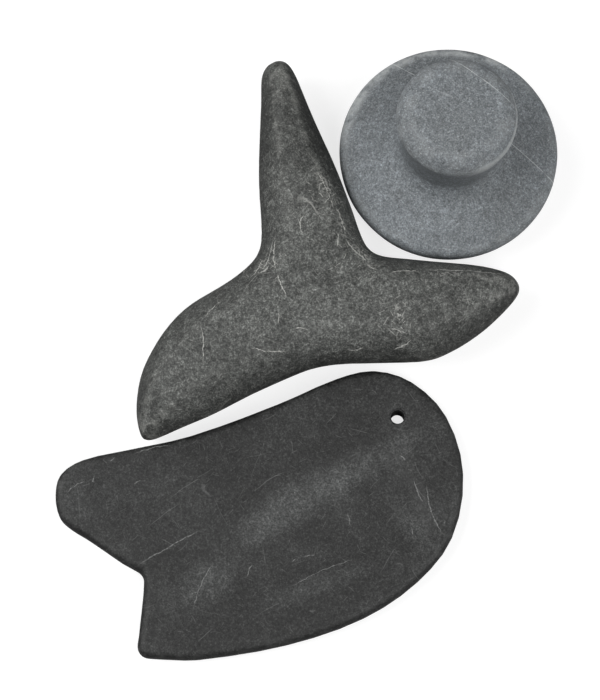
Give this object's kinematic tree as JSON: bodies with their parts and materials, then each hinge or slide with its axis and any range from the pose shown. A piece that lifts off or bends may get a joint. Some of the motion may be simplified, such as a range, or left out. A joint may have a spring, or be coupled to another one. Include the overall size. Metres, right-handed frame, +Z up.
{
  "type": "basalt massage stone set",
  "caption": "Loose set of carved basalt massage stones: a three-armed pressure stone, a round mushroom stone with a knob, and a flat fish-shaped scraping board with a cord hole.",
  "frame": {"origin": "middle of the set's bounding box, on the plane the stones lie on", "axes": "+Z up from the table; +Y along the set's longest side, from the scraping board to the upper arm's tip; +X from the lobe towards the mushroom stone"},
  "size_m": [0.1408, 0.1744, 0.046],
  "materials": {
    "dark_basalt": "honed matt, dusty, with fine pale scratches",
    "grey_basalt": "fine-ground matt, with one thin white vein",
    "charcoal_basalt": "smooth matt, with faint scratches"
  },
  "bodies": {
    "three_arm": {"three_arm_stone": "dark_basalt"},
    "mushroom": {"mushroom_stone": "grey_basalt"},
    "board": {"scraping_board": "charcoal_basalt"}
  },
  "joints": [
    {"name": "mushroom_lift", "type": "slide", "parent": "three_arm", "child": "mushroom", "axis": [0, 0, 1], "range_m": [0, 0.06]},
    {"name": "board_lift", "type": "slide", "parent": "three_arm", "child": "board", "axis": [0, 0, 1], "range_m": [0, 0.06]}
  ]
}
